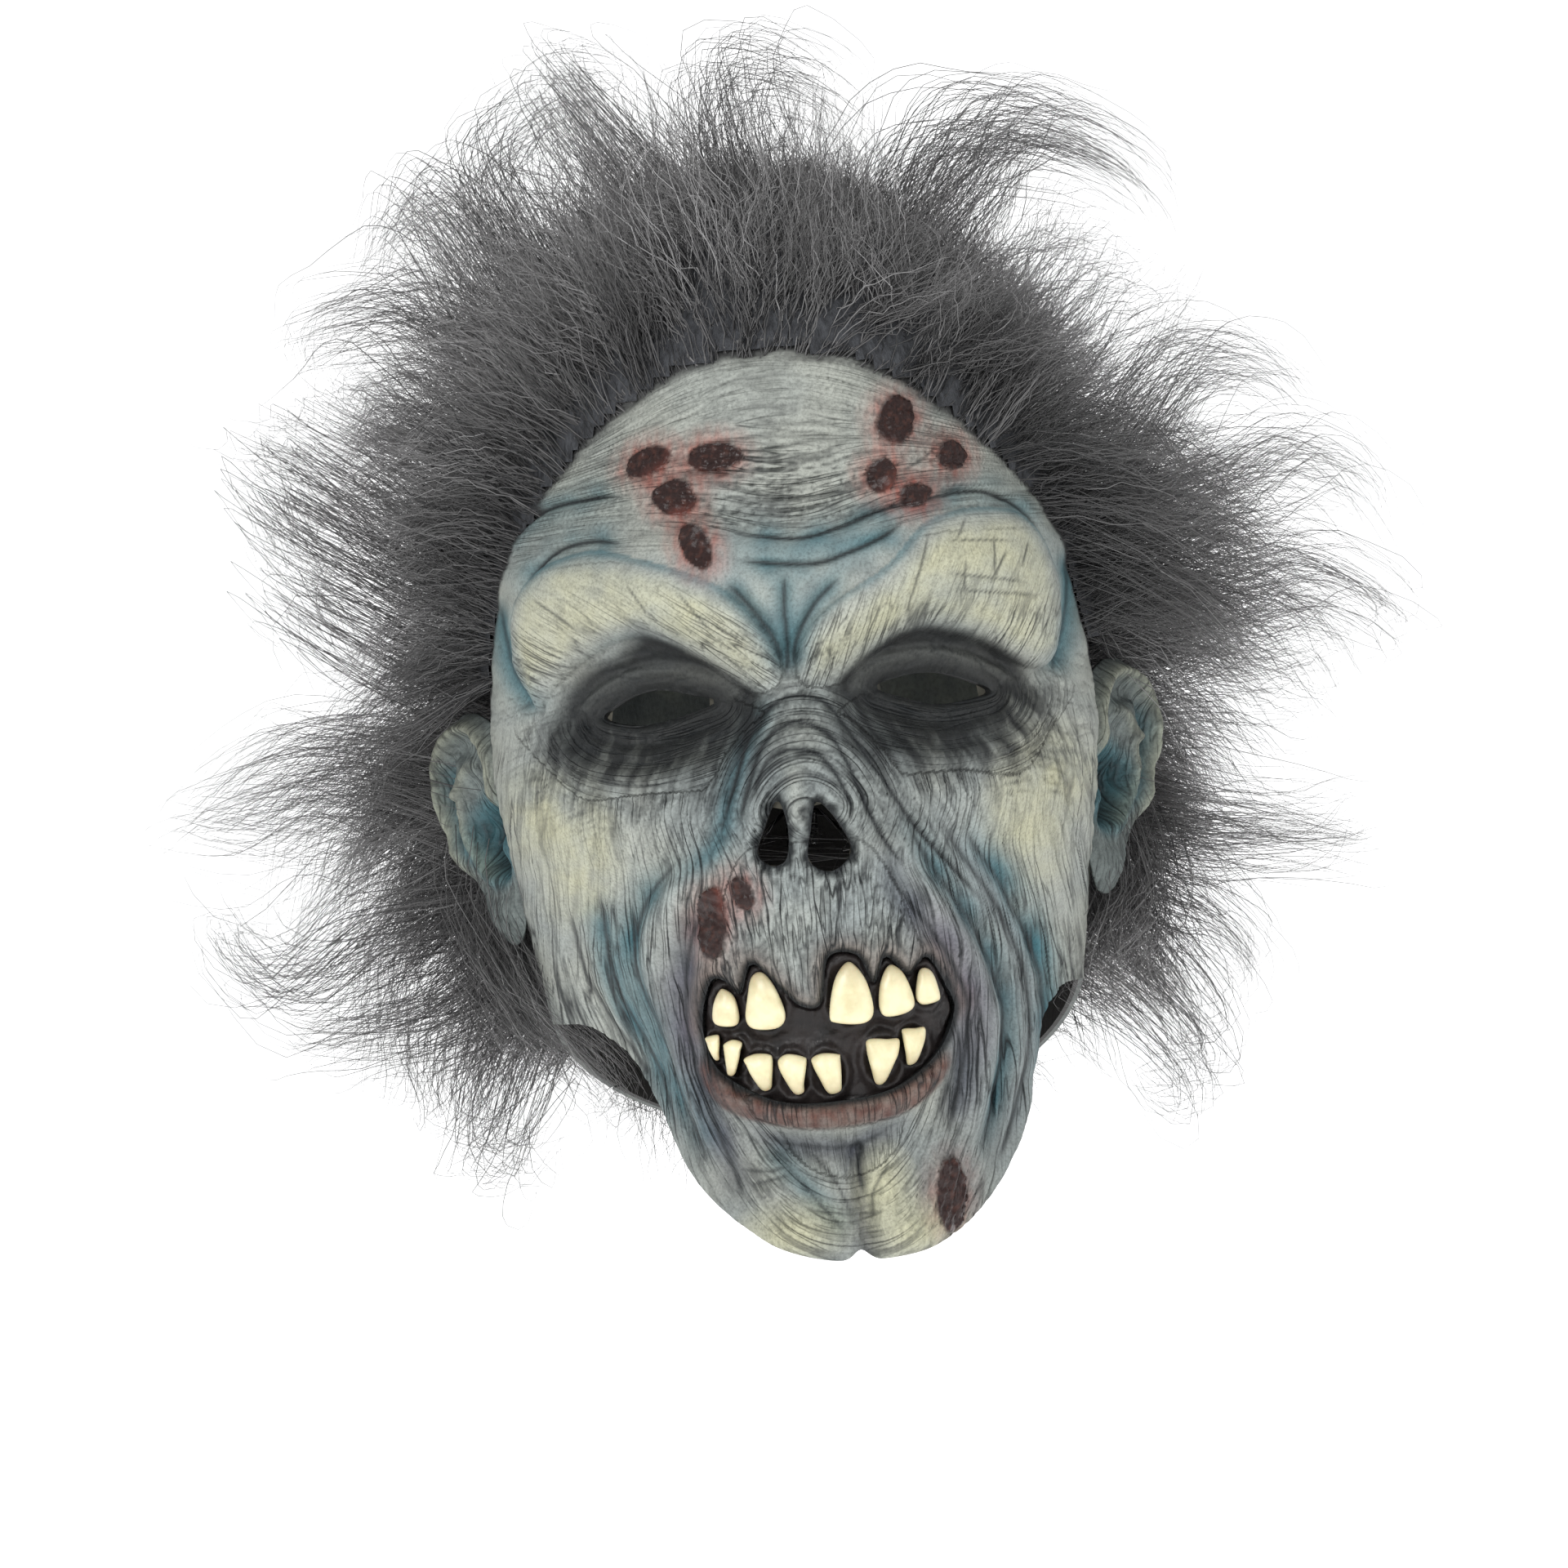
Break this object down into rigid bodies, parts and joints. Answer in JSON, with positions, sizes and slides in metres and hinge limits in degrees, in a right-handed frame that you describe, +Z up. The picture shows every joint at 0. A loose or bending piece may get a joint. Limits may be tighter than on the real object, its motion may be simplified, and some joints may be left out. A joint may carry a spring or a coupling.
{
  "type": "latex halloween mask",
  "caption": "Overhead latex zombie mask with a gaunt wrinkled face, bared teeth, ears and a wild long-pile fur wig.",
  "frame": {"origin": "centre of the neck opening, level with the wearer's jaw", "axes": "+Z up along the wearer's head, -Y the way the face looks, +X to the wearer's left"},
  "size_m": [0.316, 0.2453, 0.286],
  "materials": {
    "latex": "matte painted latex with dark washed creases",
    "latex_back": "matte unpainted latex",
    "ear_latex": "matte painted latex",
    "gum": "dark satin latex",
    "tooth": "satin cream paint over latex",
    "fur": "long frizzy grey fibre",
    "cloth_tape": "woven cotton tape",
    "label": "woven satin",
    "foam": "open-cell foam"
  },
  "bodies": {
    "mask": {"face_skin": "latex", "skull_skin": "latex_back", "left_ear": "ear_latex", "right_ear": "ear_latex", "gum_plate": "gum", "upper_tooth_1": "tooth", "upper_tooth_2": "tooth", "upper_tooth_3": "tooth", "upper_tooth_4": "tooth", "upper_tooth_5": "tooth", "lower_tooth_1": "tooth", "lower_tooth_2": "tooth", "lower_tooth_3": "tooth", "lower_tooth_4": "tooth", "lower_tooth_5": "tooth", "lower_tooth_6": "tooth", "lower_tooth_7": "tooth", "seam_tape_left": "cloth_tape", "seam_tape_right": "cloth_tape", "seam_tape_front": "cloth_tape", "slit_patch": "cloth_tape", "care_label": "label", "brow_pad": "foam", "crown_fur": "fur", "back_fur": "fur", "left_side_fur": "fur", "right_side_fur": "fur"},
    "left_flap": {"left_rear_flap": "latex_back", "left_nape_fur": "fur"},
    "right_flap": {"right_rear_flap": "latex_back", "right_nape_fur": "fur"}
  },
  "joints": [
    {"name": "left_flap_fold", "type": "hinge", "parent": "mask", "child": "left_flap", "pos_m": [0.03119, 0.07594, 0.0645], "axis": [0.5411, -0.4863, -0.6861], "range_deg": [0, 40], "stiffness_Nm_per_rad": 0.05},
    {"name": "right_flap_fold", "type": "hinge", "parent": "mask", "child": "right_flap", "pos_m": [-0.03119, 0.07594, 0.0645], "axis": [0.5411, 0.4863, 0.6861], "range_deg": [0, 40], "stiffness_Nm_per_rad": 0.05}
  ]
}
